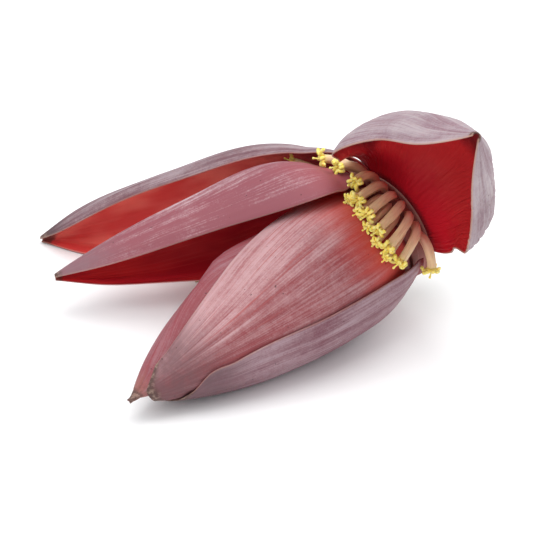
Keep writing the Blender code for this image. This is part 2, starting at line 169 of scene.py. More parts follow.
class OpenBract:
    """A bract swung away from the bud. Its keel leaves the crown's rim and runs in the plane of the bud's
    axis and the bract's azimuth. Stops along it give: heading and facing, the angles from the bud's axis of
    the keel and of the sections' normals; radius, left and right, the size and spread of the sections; roll,
    the turn about its own length; sway, the sideways heading. foot: azimuth and spreads of the strip that
    grows from the crown, which the blade leaves over the distance reach. floor: as for a closed bract."""

    def __init__(self, azimuth, start, length, heading, facing, radius, left, right, roll, sway, foot, reach,
                 foot_lean=None, floor=None):
        self.azimuth, self.start, self.length = math.radians(azimuth), start, length
        self.heading, self.facing, self.roll, self.sway = heading, facing, roll, sway
        self.radius, self.left, self.right = radius, left, right
        self.foot, self.reach = np.radians(foot), reach
        self.foot_lean = math.radians(heading[0][1] if foot_lean is None else foot_lean)
        self.wall, self.floor = BRACT_WALL, floor

    def keel(self, share, out, side):
        """Points along the keel at the given shares of its length."""
        fine = np.linspace(0, 1, 401)
        head, sway = np.radians(between(fine, self.heading)), np.radians(between(fine, self.sway))
        step = (np.cos(head) * np.cos(sway))[:, None] * ALONG + (np.sin(head) * np.cos(sway))[:, None] * out
        step = step + np.sin(sway)[:, None] * side
        run = np.concatenate([np.zeros((1, 3)), np.cumsum((step[1:] + step[:-1]) / 2, axis=0)])
        run *= self.length / (len(fine) - 1)
        foot = CROWN + self.start * ALONG + self.ring() * out
        return foot + np.stack([np.interp(share, fine, run[:, k]) for k in range(3)], axis=1)

    def ring(self):
        """Distance of the foot's middle surface from the bud's axis."""
        return CROWN_RADIUS + GAP + self.wall / 2

    def middle(self, share, across):
        out0 = radial(self.azimuth)
        side0 = np.cross(ALONG, out0)
        face, roll = np.radians(between(share, self.facing)), np.radians(between(share, self.roll))
        out = -np.sin(face)[:, None] * ALONG + np.cos(face)[:, None] * out0
        side = np.tile(side0, (len(share), 1))
        out, side = (
            np.cos(roll)[:, None] * out + np.sin(roll)[:, None] * side,
            np.cos(roll)[:, None] * side - np.sin(roll)[:, None] * out,
        )
        radius = between(share, self.radius) * MM
        left, right = np.radians(between(share, self.left)), np.radians(between(share, self.right))
        turn = (np.where(across < 0, left[:, None], right[:, None]) * across)[..., None]
        centre = self.keel(share, out0, side0) - radius[:, None] * out
        ray = np.cos(turn) * out[:, None] + np.sin(turn) * side[:, None]
        blade = centre[:, None] + radius[:, None, None] * ray
        around = radial(self.foot[0] + np.where(across < 0, self.foot[1], self.foot[2]) * across)
        run = (share * self.length)[:, None, None]
        foot = CROWN + (self.start + run * math.cos(self.foot_lean)) * ALONG
        foot = foot + (self.ring() + run * math.sin(self.foot_lean)) * around
        held = 1 - smooth(run / self.reach)
        return foot * held + blade * (1 - held)


BRACTS = {
    "bract_inner_wrap": ClosedBract(
        azimuth=155, end=207 * MM,
        low=((0, 100), (0.8, 100), (0.92, 150), (1, 185)), high=((0, 100), (1, 95)),
        lift=((0, -4.8), (168, -4.8), (184, -2.4), (199.5, -2.4), (203, -0.2), (207, 2)),
        floor=2 * (LAYER + FLOOR_GAP), rounding=(0.0, 4 * MM),
        swell=((24, 131, 176, 0), (34, 133, 176, 1.2), (46, 134, 176, 2.2), (57, 134, 176, 3.4),
               (68, 131, 176, 5), (80, 129, 176, 7.2), (92, 126, 176, 8.8), (104, 121, 176, 9),
               (114, 117, 176, 7.4), (124, 112, 176, 6), (145, 105, 174, 5.4), (168, 99, 172, 5.4),
               (184, 95, 170, 3), (199, 92, 170, 2.6),
               (203, 92, 170, 0.6), (207, 92, 170, 0))),
    "bract_front": ClosedBract(
        azimuth=29, end=196 * MM, low=((0, 102), (0.25, 104), (0.47, 95), (0.7, 85), (1, 80)),
        high=((0, 102), (0.25, 104), (0.4, 97), (0.5, 90), (0.62, 80), (0.7, 75), (0.92, 65), (1, 62)),
        lift=((0, -2.4), (172, -2.4), (184, -0.6), (206, -0.4)), floor=LAYER + FLOOR_GAP,
        rounding=(4 * MM, 14 * MM)),
    "bract_outer_wrap": ClosedBract(
        azimuth=-104, end=188 * MM,
        low=((0, 100), (0.15, 84), (0.5, 78), (1, 80)),
        high=((0, 108), (0.4, 113), (0.8, 116), (0.93, 108), (1, 74)), lift=((0, 0), (206, 0)), floor=0.0,
        rounding=(0.0, 3 * MM), slant=-9.5 * MM, flare=(7 * MM, 5 * MM)),
    "bract_open_near": OpenBract(
        azimuth=166.1, start=-2 * MM, length=204.6 * MM,
        heading=((0, 80.5), (0.22, 35.2), (0.6, 22.6), (1, 15.4)), facing=((0, 13.7), (0.3, 2.2), (1, 32.6)),
        radius=((0, 38), (0.3, 54.2), (0.53, 31.5), (0.86, 11.8), (1, 2)),
        left=((0, 90), (0.3, 111.3), (0.7, 134), (1, 140)),
        right=((0, 45), (0.3, 60.5), (0.7, 123.7), (1, 124.1)),
        roll=((0, -0.3), (0.4, 6.2), (1, 3.1)), sway=((0, 0), (1, 17.2)),
        foot=(185, 92, 45), reach=34 * MM),
    "bract_open_far": OpenBract(
        azimuth=180.5, start=-14.5 * MM, length=243.4 * MM,
        heading=((0, 96.5), (0.22, 62.5), (0.6, 44.3), (1, 28.5)), facing=((0, 41.1), (0.3, 52.7), (1, 49.9)),
        radius=((0, 38), (0.3, 45.9), (0.53, 32.3), (0.86, 15.2), (1, 2)),
        left=((0, 85), (0.3, 102.7), (0.7, 112.5), (1, 148.4)),
        right=((0, 32), (0.3, 48), (0.7, 106.5), (1, 125.6)),
        roll=((0, 20.7), (0.4, 8.5), (1, 3.7)), sway=((0, 0), (1, 13)),
        foot=(180, 72, 32), reach=34 * MM, floor=0.0),
    "bract_raised": OpenBract(
        azimuth=58.2, start=-16 * MM, length=208.6 * MM,
        heading=((0, 131.5), (0.15, 109), (0.36, 74.7), (0.7, 59.2), (1, 58.1)),
        facing=((0, 90.2), (0.35, 88.9), (1, 75.9)),
        radius=((0, 38), (0.2, 45.9), (0.34, 51.6), (0.6, 34.7), (0.85, 18.4), (1, 2)),
        left=((0, 60), (0.25, 92.4), (0.6, 102.7), (1, 121.6)),
        right=((0, 61), (0.1, 85), (0.25, 104.5), (0.6, 101.3), (1, 117.4)),
        roll=((0, 6.5), (0.4, 10), (1, 18)), sway=((0, 0), (1, -20.5)),
        foot=(58.2, 60, 60), reach=40 * MM, foot_lean=110),
}

FLOW_HALF = 60.0  # mm given to half of a bract's width in its flow coordinates


def normals_of(grid):
    """Unit normals of a grid of points, facing out of the bud on a closed bract."""
    down = np.gradient(grid, axis=0)
    side = np.gradient(grid, axis=1)
    normal = np.cross(side, down)
    return normal / np.maximum(np.linalg.norm(normal, axis=2, keepdims=True), 1e-12)


def relief(share, across, length, seed, wrinkles):
    """Height over a bract's plain shape: broad folds, ridges along it, and wrinkles on its low side."""
    flow, run = FLOW_HALF * across[None, :], (share * length / MM)[:, None]
    ends = smooth(share / 0.08) * smooth((1 - share) / 0.15)
    folds = 0.28 * ripples(flow, run, (26, 130), seed)
    ridges = 0.07 * ripples(flow, run, (5.5, 210), seed + 1)
    place = smooth((-across - 0.15) / 0.3)[None, :] * smooth((share - 0.16) / 0.12)[:, None]
    place = place * smooth((0.8 - share) / 0.25)[:, None]
    bend = 2.2 * ripples(flow, run, (40, 34), seed + 2)
    lines = np.sin(2 * math.pi * (flow + bend) / 3.1) + 0.5 * np.sin(2 * math.pi * (flow - bend) / 4.7)
    strength = smooth(0.6 + 0.5 * ripples(flow, run, (14, 26), seed + 3))
    return MM * ((folds + ridges) * ends[:, None] + wrinkles * place * strength * lines)


def bract_surfaces(bract, rows, columns, seed, wrinkles):
    """(outer grid, inner grid, facts) of a bract. facts: point attributes of one side, each a grid."""
    share, across = stations(rows), np.linspace(-1, 1, columns + 1)
    middle = bract.middle(share, across)
    normal = normals_of(middle)
    middle = middle + normal * relief(share, across, bract.length, seed, wrinkles)[..., None]
    normal = normals_of(middle)
    edge = np.abs(across)[None, :, None]
    wall = bract.wall * (1 - 0.55 * edge**6) * (1 - 0.45 * share**4)[:, None, None]
    outer, inner = middle + normal * wall / 2, middle - normal * wall / 2
    if bract.floor is not None:
        outer[..., 2] = np.maximum(outer[..., 2], bract.floor)
        inner[..., 2] = np.maximum(inner[..., 2], bract.floor + bract.wall)
    steps = np.linalg.norm(np.diff(middle, axis=1), axis=2)
    reach = np.concatenate([np.zeros((rows + 1, 1)), np.cumsum(steps, axis=1)], axis=1)
    margin = np.minimum(reach, reach[:, -1:] - reach) / MM
    run = np.tile((share * bract.length / MM)[:, None], (1, columns + 1))
    flow = np.stack([np.tile(FLOW_HALF * across, (rows + 1, 1)), run, np.full_like(run, 37.0 * seed)], axis=2)
    facts = {"flow": flow, "margin": margin, "root": run, "tip": bract.length / MM - run}
    return outer, inner, facts


# ---------------------------------------------------------------- meshes
def add_mesh(name, points, faces, facts):
    """A smooth-shaded mesh object with point attributes: numbers, or vectors of three."""
    mesh = bpy.data.meshes.new(name)
    mesh.from_pydata([tuple(p) for p in points + SHIFT], [], faces)
    mesh.validate()
    mesh.shade_smooth()
    for label, values in facts.items():
        kind, key = ("FLOAT_VECTOR", "vector") if values.ndim == 2 else ("FLOAT", "value")
        layer = mesh.attributes.new(label, kind, "POINT")
        layer.data.foreach_set(key, values.astype(np.float32).ravel())
    item = bpy.data.objects.new(name, mesh)
    bpy.context.scene.collection.objects.link(item)
    return item


def sheet_mesh(name, outer, inner, facts):
    """A closed sheet between two grids. The attribute inner is 1 on its hollow side."""
    rows, columns = outer.shape[0] - 1, outer.shape[1] - 1
    width = columns + 1
    shift = (rows + 1) * width
    a = (np.arange(rows)[:, None] * width + np.arange(columns)[None, :]).ravel()
    outside = np.stack([a, a + 1, a + width + 1, a + width], axis=1)
    inside = shift + outside[:, ::-1]
    border = [c for c in range(columns)] + [r * width + columns for r in range(rows)]
    border += [rows * width + c for c in range(columns, 0, -1)] + [r * width for r in range(rows, 0, -1)]
    rim = [(there, here, shift + here, shift + there) for here, there in zip(border, border[1:] + border[:1])]
    faces = [tuple(f) for f in np.concatenate([outside, inside, np.array(rim)]).tolist()]
    doubled = {k: np.concatenate([v.reshape(shift, -1)] * 2).squeeze() for k, v in facts.items()}
    doubled["inner"] = np.repeat([0.0, 1.0], shift)
    return add_mesh(name, np.concatenate([outer.reshape(-1, 3), inner.reshape(-1, 3)]), faces, doubled)


def rod_parts(grid, first=0):
    """(points, faces) of a closed solid through rings of points, with a point in the middle of each end."""
    count, sides = grid.shape[:2]
    points = np.concatenate([grid.reshape(-1, 3), grid[0].mean(0)[None], grid[-1].mean(0)[None]])
    start, end = count * sides, count * sides + 1
    faces = []
    for k in range(sides):
        after = (k + 1) % sides
        faces.append((start, after, k))
        faces.append((end, (count - 1) * sides + k, (count - 1) * sides + after))
        for r in range(count - 1):
            a, b = r * sides + k, r * sides + after
            faces.append((a, b, b + sides, a + sides))
    return points, [tuple(first + v for v in face) for face in faces]


def rings(path, ways, radii, sides, ribs=0.0):
    """Rings of points square to a path. ribs: depth of five lengthwise ribs, as a share of the radius."""
    side = np.cross(ways[0], OVER)
    turn = np.linspace(0, 2 * math.pi, sides, endpoint=False)[:, None]
    swell = 1 + ribs * np.cos(5 * turn)
    found = []
    for point, way, r in zip(path, ways, radii):
        side = side - (side @ way) * way
        side /= np.linalg.norm(side)
        found.append(point + r * swell * (np.cos(turn) * side + np.sin(turn) * np.cross(way, side)))
    return np.array(found)


def directions(path):
    """Unit directions along a path of points."""
    way = np.gradient(path, axis=0)
    return way / np.linalg.norm(way, axis=1, keepdims=True)


# ---------------------------------------------------------------- flowers, placed as in the CAD model
FRONT_ROW, BACK_ROW = -9 * MM, -2.5 * MM
FLOWERS = (  # row, foot azimuth, end azimuth, end along and distance, rise of the bend (mm), size
    (FRONT_ROW, 113, 120, 8, 64, -8, 1),
    (FRONT_ROW, 102, 102.5, 10, 60.5, -5, 1),
    (FRONT_ROW, 90.5, 86, 11, 55.8, -1, 1),
    (FRONT_ROW, 79, 75, 18, 52, 1, 1),
    (FRONT_ROW, 67.5, 61, 21, 52, 1, 1),
    (FRONT_ROW, 56.5, 47.5, 22, 52, 1, 1),
    (FRONT_ROW, 45.5, 33.5, 23, 52, 1, 1),
    (FRONT_ROW, 34.5, 19.5, 19, 51.5, 1, 1),
    (FRONT_ROW, 24, -2, -3, 52, -1, 1),
    (BACK_ROW, 84.5, 82, 20, 47.7, -1, 0.7),
    (BACK_ROW, 73, 68, 23, 48, -1, 0.7),
    (BACK_ROW, 62, 54, 25, 48.2, -1, 0.7),
    (BACK_ROW, 51, 40.5, 26, 48.4, -1, 0.7),
    (BACK_ROW, 40, 26.5, 25, 48.4, -1, 0.7),
    (-7 * MM, 147, 147, 11, 75, -18, 0.85),
)
FALLEN_TIP = np.array([-72.0, 107.0, 4.6]) * MM
FALLEN_HEADING = math.radians(-30)
TUBE_SIDES = 26
LOBES, LOBE_RINGS, LOBE_SIDES = 8, 13, 10


def bend(foot, knee, end, points):
    """Points on a smooth bend, and its directions."""
    t = np.linspace(0, 1, points)[:, None]
    path = foot * (1 - t) ** 2 + 2 * knee * t * (1 - t) + end * t**2
    way = (knee - foot) * (1 - t) + (end - knee) * t
    return path, way / np.linalg.norm(way, axis=1, keepdims=True)


def flower_path(row, foot_azimuth, end_azimuth, along, distance, rise, points=36):
    """Centreline of a flower: it leaves the crown square to the stem and bends over towards the bud's tip."""
    azimuth = np.radians([foot_azimuth, foot_azimuth + 0.35 * (end_azimuth - foot_azimuth), end_azimuth])
    along, distance, rise = along * MM, distance * MM, rise * MM
    places = (row, CROWN_RADIUS + 2 * GAP), (row + 0.12 * (along - row), distance + rise), (along, distance)
    foot, knee, end = (CROWN + a * ALONG + r * radial(phi) for (a, r), phi in zip(places, azimuth))
    return bend(foot, knee, end, points)


def fallen_path(points=36):
    """Centreline of the loose flower, from its foot to its tip."""
    way = np.array([math.cos(FALLEN_HEADING), math.sin(FALLEN_HEADING), 0.0])
    aside = np.array([-way[1], way[0], 0.0])
    end = FALLEN_TIP + way * TUFT_LENGTH * 0.6
    return bend(end + way * 34 * MM, end + way * 17 * MM + aside * 5 * MM, end, points)


def tube_mesh(name, path, ways, size, seed):
    """A flower's curved tube: fat in the middle, ribbed, with round ends."""
    t = np.linspace(0, 1, len(path))
    radii = FLOWER_RADIUS * size * (0.97 + 0.85 * t * (1 - t) + 0.10 * smooth((t - 0.82) / 0.18))
    ends = np.sqrt(np.clip(1 - (1 - np.minimum(t, 1 - t) / 0.05) ** 2, 0.12, 1))
    radii = radii * np.where(np.minimum(t, 1 - t) < 0.05, ends, 1)
    grid = rings(path, ways, radii, TUBE_SIDES, ribs=0.05)
    run = np.cumsum(np.r_[0, np.linalg.norm(np.diff(path, axis=0), axis=1)]) / MM
    turn = np.tile(np.linspace(0, 20, TUBE_SIDES), (len(path), 1))
    out = grid - path[:, None]
    out = out / np.linalg.norm(out, axis=2, keepdims=True)
    grid = grid + 0.1 * MM * ripples(turn, run[:, None], (6, 22), seed)[..., None] * out
    points, faces = rod_parts(grid)
    flow = [turn, np.tile(run[:, None], (1, TUBE_SIDES)), np.full_like(turn, 11.0 * seed)]
    flow = np.stack(flow, axis=2)
    flow = np.concatenate([flow.reshape(-1, 3), flow[0, :1], flow[-1, :1]])
    reach = flow[:, 1] / run[-1]
    return add_mesh(name, points, faces, {"flow": flow, "reach": reach})


def style(end, way, out, size, t):
    """Path and radii of the thin style in the middle of a tuft."""
    path = end + way * (-1 + 7.5 * t) * MM * size + out * (1.2 * t**2) * MM
    return path, 0.55 * size * MM * (1 + 0.8 * smooth((t[:, 0] - 0.75) / 0.2))


def lobe(end, way, out, size, t, rng):
    """Path and radii of one lobe of a tuft, which curls outwards and a little aside."""
    length, curl = rng.uniform(5.0, 8.0), rng.uniform(2.0, 4.2)
    twist = rng.uniform(-1.4, 1.4)
    away = math.cos(twist) * out + math.sin(twist) * np.cross(way, out)
    angle = curl * t**1.3
    step = np.cos(angle) * way + np.sin(angle) * (out * (1 - t) + away * t)
    run = np.concatenate([np.zeros((1, 3)), np.cumsum(step[1:], axis=0)]) / (len(t) - 1)
    path = end + out * 2.3 * MM * size - way * 1.2 * MM + run * length * MM * size
    return path, size * MM * (1.35 - 0.35 * t[:, 0] + 0.4 * smooth((t[:, 0] - 0.7) / 0.2))


def tuft_mesh(name, end, way, size, seed):
    """The curled yellow lobes at the end of a flower, with its style in the middle."""
    rng = np.random.default_rng(seed)
    side = np.cross(way, OVER)
    side /= np.linalg.norm(side)
    over = np.cross(way, side)
    t = np.linspace(0, 1, LOBE_RINGS)[:, None]
    points, faces, reach = [], [], []
    for k in range(LOBES + 1):
        turn = 2 * math.pi * (k + rng.uniform(-0.3, 0.3)) / LOBES
        out = math.cos(turn) * side + math.sin(turn) * over
        last = k == LOBES
        path, radii = style(end, way, out, size, t) if last else lobe(end, way, out, size, t, rng)
        radii = radii * np.sqrt(np.clip(1 - (np.abs(2 * t[:, 0] - 1) ** 12), 0.12, 1))
        ring = rings(path, directions(path), radii, LOBE_SIDES)
        more, shape = rod_parts(ring, sum(len(p) for p in points))
        points.append(more)
        faces += shape
        reach.append(np.r_[np.repeat(t[:, 0], LOBE_SIDES), 0.0, 1.0])
    points = np.concatenate(points)
    points[:, 2] = np.maximum(points[:, 2], 0.05 * MM)
    return add_mesh(name, points, faces, {"reach": np.concatenate(reach)})


# ---------------------------------------------------------------- crown, stem and heart
CROWN_PROFILE = (  # (along, radius), from the face that carries the bud to the cut end of the stem
    (0.0, CROWN_RADIUS),
    (-5.4 * MM, CROWN_RADIUS),
    (-6.2 * MM, CROWN_RADIUS - 0.8 * MM),
    (-13.4 * MM, CROWN_RADIUS - 0.6 * MM),
    (-14.0 * MM, CROWN_RADIUS),
    (-CROWN_DEPTH, CROWN_RADIUS),
    (-CROWN_DEPTH - 1.5 * MM, CROWN_RADIUS - 2 * MM),
    (-24.0 * MM, 28.0 * MM),
    (-30.0 * MM, 20.5 * MM),
    (-36.0 * MM, STEM_RADIUS + 0.8 * MM),
    (-STEM_LENGTH, STEM_RADIUS),
)
SKIN_ROWS, CUT_ROWS = 150, 14  # rows of points down the crown and stem, and across the cut end
SCAR_SPACING = 6.5  # mm


def turned_rings(profile, sides):
    """Rings of points round the bud's axis from (along, radius) pairs."""
    azimuth = np.linspace(0, 2 * math.pi, sides, endpoint=False)
    return np.array([CROWN + a * ALONG + r * radial(azimuth) for a, r in profile])


def stem_mesh(name, sides=160):
    """Crown and stem with the scars of fallen bracts as uneven rings, and a cut end."""
    along = np.r_[np.linspace(0, -STEM_LENGTH, SKIN_ROWS), np.full(CUT_ROWS, -STEM_LENGTH)]
    places, radii = (np.array(column) for column in zip(*reversed(CROWN_PROFILE)))
    radius = np.interp(along, places, radii)
    radius[SKIN_ROWS:] = STEM_RADIUS * np.linspace(0.96, 0.04, CUT_ROWS)
    azimuth = np.linspace(0, 2 * math.pi, sides, endpoint=False)
    turn, down = 40 * np.sin(azimuth)[None, :], (along / MM)[:, None]
    mark = down + 1.6 * ripples(turn + 0 * down, 30 * np.cos(azimuth)[None, :] + 0 * down, (30, 30), 5)
    scars = 0.45 * np.abs(np.sin(math.pi * mark / SCAR_SPACING)) - 0.2
    bumps = 0.25 * ripples(turn, down + 25 * np.cos(azimuth)[None, :], (9, 14), 6)
    side = smooth((-down - 17) / 6) * smooth((STEM_LENGTH / MM + down) / 2)
    spread = radius[:, None] / MM
    cut = 0.25 * ripples(spread * np.cos(azimuth), spread * np.sin(azimuth), (5, 5), 7)
    radius = radius[:, None] + MM * (scars + bumps) * side
    on_cut = np.arange(len(along))[:, None] >= SKIN_ROWS
    along = along[:, None] + np.where(on_cut, MM * np.abs(cut), 0)
    grid = CROWN + along[..., None] * ALONG + radius[..., None] * radial(azimuth)[None]
    points, faces = rod_parts(grid)
    faces = [tuple(reversed(face)) for face in faces]
    place = np.broadcast_to(along / MM, radius.shape)
    reach = np.r_[place.ravel(), 0.0, -STEM_LENGTH / MM]
    spread = np.r_[(radius / MM).ravel(), 0.0, 0.0]
    return add_mesh(name, points, faces, {"place": reach, "spread": spread})


def heart_mesh(name, sides=96):
    """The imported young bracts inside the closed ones, as one solid."""
    along = RIM + stations(60) * (HEART_END - RIM)
    grid = turned_rings(list(zip(along, bud_radius(along) - HEART_DEPTH)), sides)
    grid[..., 2] = np.maximum(grid[..., 2], HEART_DEPTH)
    points, faces = rod_parts(grid)
    across = np.linspace(-FLOW_HALF, FLOW_HALF, sides)
    flow = np.stack(np.broadcast_arrays(across[None, :], along[:, None] / MM, 3.0), axis=2).reshape(-1, 3)
    flow = np.concatenate([flow, flow[:1], flow[-1:]])
    far = np.full(len(points), 50.0)
    facts = {"flow": flow, "margin": far, "root": flow[:, 1], "tip": far, "inner": far / 50}
    return add_mesh(name, points, faces, facts)


# ---------------------------------------------------------------- materials
class Surface:
    """A material's node tree, with short ways to add and join nodes."""

    def __init__(self, name):
        self.material = bpy.data.materials.new(name)
        self.material.use_nodes = True
        self.nodes, self.links = self.material.node_tree.nodes, self.material.node_tree.links
        self.shader = self.nodes["Principled BSDF"]

    def put(self, socket, value):
        """Links a socket to value, or sets it to the number or colour."""
        if isinstance(value, bpy.types.NodeSocket):
            self.links.new(value, socket)
        elif isinstance(value, tuple) and len(value) == 3 and socket.type == "RGBA":
            socket.default_value = (*value, 1.0)
        else:
            socket.default_value = value

    def fact(self, name, output="Fac"):
        """A point attribute of the mesh, as a number or, with output Vector, as a vector."""
        node = self.nodes.new("ShaderNodeAttribute")
        node.attribute_name = name
        return node.outputs[output]

    def stretched(self, vector, scale):
        node = self.nodes.new("ShaderNodeVectorMath")
        node.operation = "MULTIPLY"
        self.put(node.inputs[0], vector)
        node.inputs[1].default_value = scale
        return node.outputs[0]

    def first(self, vector):
        """The first number of a vector."""
        node = self.nodes.new("ShaderNodeSeparateXYZ")
        self.put(node.inputs[0], vector)
        return node.outputs[0]

    def noise(self, vector, scale=1.0, detail=3.0, rough=0.55, warp=0.0):
        node = self.nodes.new("ShaderNodeTexNoise")
        self.put(node.inputs["Vector"], vector)
        settings = {"Scale": scale, "Detail": detail, "Roughness": rough, "Distortion": warp}
        for label, value in settings.items():
            node.inputs[label].default_value = value
        return node.outputs["Fac"]

    def cells(self, vector, scale):
        node = self.nodes.new("ShaderNodeTexVoronoi")
        self.put(node.inputs["Vector"], vector)
        node.inputs["Scale"].default_value = scale
        return node.outputs["Distance"]

    def maths(self, operation, *values):
        node = self.nodes.new("ShaderNodeMath")
        node.operation = operation
        for socket, value in zip(node.inputs, values):
            self.put(socket, value)
        return node.outputs[0]

    def times(self, first, second):
        return self.maths("MULTIPLY", first, second)

    def total(self, *values):
        """Sum of two or more values."""
        result = values[0]
        for value in values[1:]:
            result = self.maths("ADD", result, value)
        return result

    def swing(self, texture, weight):
        """A texture from 0 to 1 set around 0, times weight."""
        return self.times(self.maths("SUBTRACT", texture, 0.5), weight)

    def fade(self, value, low, high, to_low=0.0, to_high=1.0):
        """value from low to high turned smoothly into to_low to to_high."""
        node = self.nodes.new("ShaderNodeMapRange")
        node.interpolation_type = "SMOOTHSTEP"
        for socket, number in zip(node.inputs, (value, low, high, to_low, to_high)):
            self.put(socket, number)
        return node.outputs[0]

    def mix(self, share, first, second):
        """The first colour at share 0, the second at share 1."""
        node = self.nodes.new("ShaderNodeMix")
        node.data_type, node.clamp_factor = "RGBA", True
        self.put(node.inputs[0], share)
        self.put(node.inputs[6], first)
        self.put(node.inputs[7], second)
        return node.outputs[2]

    def bump(self, height, distance, strength=1.0):
        node = self.nodes.new("ShaderNodeBump")
        node.inputs["Distance"].default_value = distance
        node.inputs["Strength"].default_value = strength
        self.put(node.inputs["Height"], height)
        self.put(self.shader.inputs["Normal"], node.outputs[0])

    def position(self):
        return self.nodes.new("ShaderNodeTexCoord").outputs["Object"]

    def finish(self, colour, rough, **fixed):
        self.put(self.shader.inputs["Base Color"], colour)
        self.put(self.shader.inputs["Roughness"], rough)
        for label, value in fixed.items():
            self.put(self.shader.inputs[label.replace("_", " ")], value)
        return self.material


DRY_BROWN, DRY_BEIGE = (0.10, 0.052, 0.045), (0.27, 0.18, 0.14)
SPECK, PALE_EDGE = (0.05, 0.02, 0.02), (0.46, 0.27, 0.21)
# second colour: light red fine lines on the hollow side, partly real veining and partly painted satin sheen
FOOT_RED, FINE_RED_AND_SHEEN = (0.20, 0.014, 0.02), (0.75, 0.10, 0.08)


@dataclass
class BractLook:
    """Colours of a bract. Outside: bloom, flesh, the wax and the skin under it; cover, how much wax there is,
    0 to 1, and lean, how much more of it towards the high margin, which is partly real bloom and partly
    painted
    light: the lit high side paler, the shaded low side darker; streak, streaks, colour and strength of the
    streaks; root, the colour at the crown end, over root_reach mm; tip_reach, mm of dry tip; dusk, (reach in
    mm, colour) of a duller stretch before it; edge, paleness of the margins. Inside: inside, inside_deep, the
    bright and the deep red; inside_lean, how much more of the bright one towards the high margin, and fall,
    how much less away from the crown; inside_root, (reach in mm, colour) next to the crown; wrinkles, depth
    of the lengthwise wrinkles."""

    bloom: tuple
    flesh: tuple
    cover: float
    streak: tuple
    streaks: float
    root: tuple
    root_reach: float
    inside: tuple
    inside_deep: tuple
    tip_reach: float
    lean: float = 0.0
    inside_lean: float = 0.0
    edge: float = 0.3
    dusk: tuple = (0.0, (0.2, 0.1, 0.1))
    inside_root: tuple = (0.0, (0.3, 0.01, 0.02))
    fall: float = 0.0
    wrinkles: float = 0.0


def bract_textures(s, flow):
    """Noise over a bract. patches, bands and veins run along it, cloud and grain are even."""
    place = s.position()
    return {
        "patches": s.noise(s.stretched(flow, (0.045, 0.020, 1.0)), 1.0, 3.0, 0.5, 0.4),
        "bands": s.noise(s.stretched(flow, (0.22, 0.009, 1.0)), 1.0, 3.0, 0.55, 0.3),
        "veins": s.noise(s.stretched(flow, (1.15, 0.016, 1.0)), 1.0, 4.0, 0.65),
        "cloud": s.noise(place, 210.0, 4.0, 0.6),
        "grain": s.noise(place, 900.0, 2.0, 0.6),
    }


def dry_tip(s, colour, grain, reach):
    """(colour, share) of a brown, shrivelled tip with pale crumbs, over the last reach mm."""
    tip = s.total(s.fact("tip"), s.swing(grain, reach * 1.6))
    dry = s.fade(tip, reach * 0.35, reach * 1.15, 1.0, 0.0)
    crumbs = s.fade(s.noise(s.position(), 420.0, 3.0, 0.6), 0.46, 0.66)
    return s.mix(dry, colour, s.mix(crumbs, DRY_BROWN, DRY_BEIGE)), dry


def outer_colour(s, look, flow, side, textures):
    """(colour, share of dry tip) of a bract's outside: waxy bloom over a red skin, with painted light from
    lean.
    """
    # the side * lean term is painted light: it makes the lit high side paler and the shaded low side darker,
    # over the real uneven bloom
    wax = s.maths("MULTIPLY_ADD", side, look.lean, look.cover)
    for name, weight in (("patches", 1.0), ("bands", 1.3), ("veins", 1.3), ("cloud", 0.5), ("grain", 0.5)):
        wax = s.total(wax, s.swing(textures[name], weight))
    outer = s.mix(s.fade(wax, 0.05, 1.05), look.flesh, look.bloom)
    lines = s.noise(s.stretched(flow, (0.55, 0.011, 1.0)), 1.0, 3.0, 0.6, 0.2)
    outer = s.mix(s.times(s.fade(lines, 0.54, 0.72), look.streaks), outer, look.streak)
    uneven = s.swing(textures["bands"], 24.0)
    near = s.total(s.fact("root"), uneven)
    near = s.fade(near, look.root_reach * 0.35, look.root_reach * 1.1, 0.85, 0.0)
    outer = s.mix(near, outer, look.root)
    reach, dusk = look.dusk
    far = s.fade(s.total(s.fact("tip"), uneven), reach * 0.3, reach + 1.0, 0.9, 0.0)
    outer = s.mix(s.times(far, s.fade(textures["cloud"], 0.25, 0.6, 0.7, 1.0)), outer, dusk)
    specks = s.fade(s.noise(s.position(), 330.0, 1.0, 0.4), 0.775, 0.81)
    outer = s.mix(s.times(specks, 0.7), outer, SPECK)
    return dry_tip(s, outer, textures["cloud"], look.tip_reach)


def hollow_colour(s, look, flow, side, cloud, dry):
    """Colour of a bract's hollow side: bright to deep red, duller away from the crown."""
    hue = s.noise(s.stretched(flow, (0.035, 0.016, 1.0)), 1.0, 2.0, 0.5)
    hue = s.maths("MULTIPLY_ADD", side, look.inside_lean, hue)
    hue = s.total(hue, s.fade(s.fact("root"), 55.0, 130.0, look.fall * 0.5, -look.fall))
    hollow = s.mix(s.fade(hue, 0.35, 0.68), look.inside_deep, look.inside)
    # fine light red lines: partly real veining, partly a painted satin sheen on the hollow side
    fine = s.noise(s.stretched(flow, (0.9, 0.02, 1.0)), 1.0, 3.0, 0.6)
    hollow = s.mix(s.fade(fine, 0.50, 0.80, 0.0, 0.22), hollow, FINE_RED_AND_SHEEN)
    reach, root = look.inside_root
    near = s.total(s.fact("root"), s.swing(cloud, 30.0))
    hollow = s.mix(s.fade(near, reach * 0.4, reach + 1.0, 0.9, 0.0), hollow, root)
    return s.mix(s.times(dry, 0.8), hollow, DRY_BROWN)


def bract_height(s, look, flow, turned, textures):
    """Height of a bract's fine grain and veins, with wrinkles on the hollow side."""
    folds = s.noise(s.stretched(flow, (0.42, 0.05, 1.0)), 1.0, 2.0, 0.5, 0.5)
    return s.total(
        s.times(textures["veins"], 0.7),
        s.times(textures["cloud"], 0.35),
        s.times(textures["grain"], 0.12),
        s.times(folds, s.times(turned, look.wrinkles)),
    )


